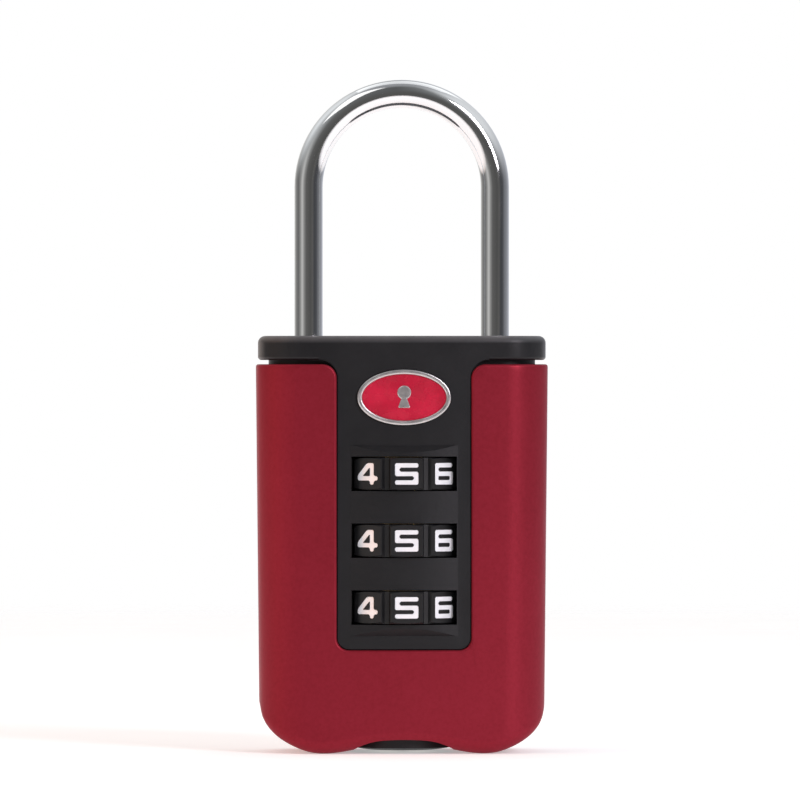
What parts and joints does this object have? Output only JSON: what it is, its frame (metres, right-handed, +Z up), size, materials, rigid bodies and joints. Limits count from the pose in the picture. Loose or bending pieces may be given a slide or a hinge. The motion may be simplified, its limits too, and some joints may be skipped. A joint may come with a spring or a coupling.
{
  "type": "combination padlock",
  "caption": "Small luggage padlock: steel shackle, painted sleeve over a black core, number dials in a front panel and a master-key cylinder underneath.",
  "frame": {"origin": "bottom centre of the whole lock's bounding box", "axes": "+Z up to the shackle's bend, front with the number windows towards -Y, +X to the right seen from the front, on the side of the short shackle leg"},
  "size_m": [0.031, 0.0152, 0.0713],
  "materials": {
    "red_paint": "satin",
    "black_plastic": "fine moulded texture",
    "dial_plastic": "smooth, with white numbers in the visual model",
    "chrome": "polished",
    "steel": "plain",
    "spring_steel": "drawn wire",
    "plug_nickel": "nickel plated",
    "brass": "as turned",
    "bezel_silver": "satin bright",
    "badge_red": "gloss enamel"
  },
  "bodies": {
    "lock_body": {"outer_sleeve": "red_paint", "core_housing": "black_plastic", "core_rear_cover": "black_plastic", "cover_screws": "steel", "sleeve_pins": "steel", "bottom_cap": "black_plastic", "cylinder_housing": "brass", "spindle_bushing": "brass", "dial_detent_spring": "spring_steel", "badge_bezel": "bezel_silver", "badge_inlay": "badge_red", "clutch_spring_top": "spring_steel", "clutch_spring_middle": "spring_steel", "clutch_spring_bottom": "spring_steel", "bolt_spring": "spring_steel", "shackle_spring": "spring_steel", "reset_spring": "spring_steel"},
    "shackle_part": {"shackle": "chrome", "shackle_retaining_ring": "spring_steel"},
    "dial_1": {"number_dial_top": "dial_plastic"},
    "dial_2": {"number_dial_middle": "dial_plastic"},
    "dial_3": {"number_dial_bottom": "dial_plastic"},
    "clutch_1": {"clutch_top": "brass"},
    "clutch_2": {"clutch_middle": "brass"},
    "clutch_3": {"clutch_bottom": "brass"},
    "spindle_part": {"spindle": "steel", "spindle_cross_pin": "steel"},
    "bolt_part": {"locking_bolt": "steel"},
    "key_cylinder_plug": {"key_plug": "plug_nickel", "plug_wafers": "brass", "cam_pin_disc": "steel", "plug_retaining_clip": "spring_steel"},
    "release_part": {"release_slide": "steel"},
    "button_part": {"reset_button": "black_plastic"},
    "reset_plate_part": {"reset_plate": "steel"}
  },
  "joints": [
    {"name": "shackle_lift", "type": "slide", "parent": "lock_body", "child": "shackle_part", "axis": [0, 0, 1], "range_m": [0, 0.0095], "deforming": ["shackle_spring"]},
    {"name": "dial_1_turn", "type": "hinge", "parent": "lock_body", "child": "dial_1", "pos_m": [0, -0.0007, 0.02955], "axis": [0, 0, 1], "continuous": true},
    {"name": "dial_2_turn", "type": "hinge", "parent": "lock_body", "child": "dial_2", "pos_m": [0, -0.0007, 0.0225], "axis": [0, 0, 1], "continuous": true},
    {"name": "dial_3_turn", "type": "hinge", "parent": "lock_body", "child": "dial_3", "pos_m": [0, -0.0007, 0.01545], "axis": [0, 0, 1], "continuous": true},
    {"name": "clutch_1_drop", "type": "slide", "parent": "dial_1", "child": "clutch_1", "axis": [0, 0, -1], "range_m": [0, 0.0009], "deforming": ["clutch_spring_top"]},
    {"name": "clutch_2_drop", "type": "slide", "parent": "dial_2", "child": "clutch_2", "axis": [0, 0, -1], "range_m": [0, 0.0009], "deforming": ["clutch_spring_middle"]},
    {"name": "clutch_3_drop", "type": "slide", "parent": "dial_3", "child": "clutch_3", "axis": [0, 0, -1], "range_m": [0, 0.0009], "deforming": ["clutch_spring_bottom"]},
    {"name": "spindle_shift", "type": "slide", "parent": "lock_body", "child": "spindle_part", "axis": [0, 0, 1], "range_m": [-0.002, 0]},
    {"name": "bolt_throw", "type": "slide", "parent": "lock_body", "child": "bolt_part", "axis": [1, 0, 0], "range_m": [0, 0.0012], "deforming": ["bolt_spring"]},
    {"name": "key_turn", "type": "hinge", "parent": "lock_body", "child": "key_cylinder_plug", "pos_m": [0, 0.00045, 0.004], "axis": [0, 0, 1], "range_deg": [0, 90]},
    {"name": "release_draw", "type": "slide", "parent": "lock_body", "child": "release_part", "axis": [-1, 0, 0], "range_m": [0, 0.00142]},
    {"name": "reset_press", "type": "slide", "parent": "lock_body", "child": "button_part", "axis": [0, -1, 0], "range_m": [0, 0.0009], "stiffness_N_per_m": 600, "deforming": ["reset_spring"]},
    {"name": "reset_plate_drop", "type": "slide", "parent": "lock_body", "child": "reset_plate_part", "axis": [0, 0, -1], "range_m": [0, 0.0009]}
  ],
  "couplings": [
    {"joint": "bolt_throw", "follows": "spindle_shift", "ratio": -0.6},
    {"joint": "key_turn", "follows": "release_draw", "rad_per_m": 1110},
    {"joint": "reset_plate_drop", "follows": "reset_press", "ratio": 1},
    {"joint": "clutch_1_drop", "follows": "reset_press", "ratio": 1},
    {"joint": "clutch_2_drop", "follows": "reset_press", "ratio": 1},
    {"joint": "clutch_3_drop", "follows": "reset_press", "ratio": 1}
  ]
}
